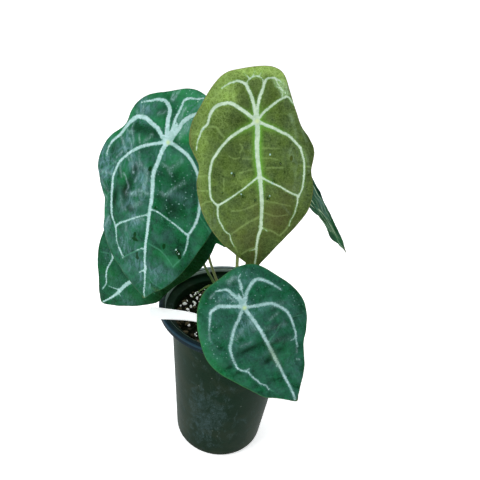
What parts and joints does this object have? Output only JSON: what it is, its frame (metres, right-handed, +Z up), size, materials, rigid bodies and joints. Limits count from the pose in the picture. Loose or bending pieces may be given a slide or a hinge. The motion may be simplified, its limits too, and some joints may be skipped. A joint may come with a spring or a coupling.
{
  "type": "potted anthurium",
  "caption": "Velvety-leaved anthurium in a dark nursery pot: pendent peltate leaves with pale veins on slender petioles, standing in potting mix with a plain plant label",
  "frame": {"origin": "centre of the pot's underside", "axes": "+Z up out of the pot, -Y towards the front leaf, +X to the right seen from the front"},
  "size_m": [0.2699, 0.1995, 0.4417],
  "materials": {
    "pot_plastic": "charcoal injection-moulded plastic, dusty, with a soft sheen along the rim",
    "potting_mix": "loose dark mix of peat, bark chips and white perlite",
    "crown_tissue": "rough brown-green stem with dry sheath scales",
    "label_plastic": "plain white plastic strip with a satin face",
    "petiole": "smooth olive-green stalk",
    "leaf_deep_green": "velvety deep green blade with pale mint veins and a soft sheen",
    "leaf_olive": "young olive-green blade with pale green veins"
  },
  "bodies": {
    "root": {"pot": "pot_plastic", "soil": "potting_mix", "crown": "crown_tissue", "label": "label_plastic", "bract": "petiole", "leaf_left": "leaf_deep_green", "petiole_left": "petiole", "leaf_centre": "leaf_olive", "petiole_centre": "petiole", "leaf_low": "leaf_deep_green", "petiole_low": "petiole", "leaf_front": "leaf_deep_green", "petiole_front": "petiole", "leaf_right": "leaf_deep_green", "petiole_right": "petiole"}
  },
  "joints": []
}
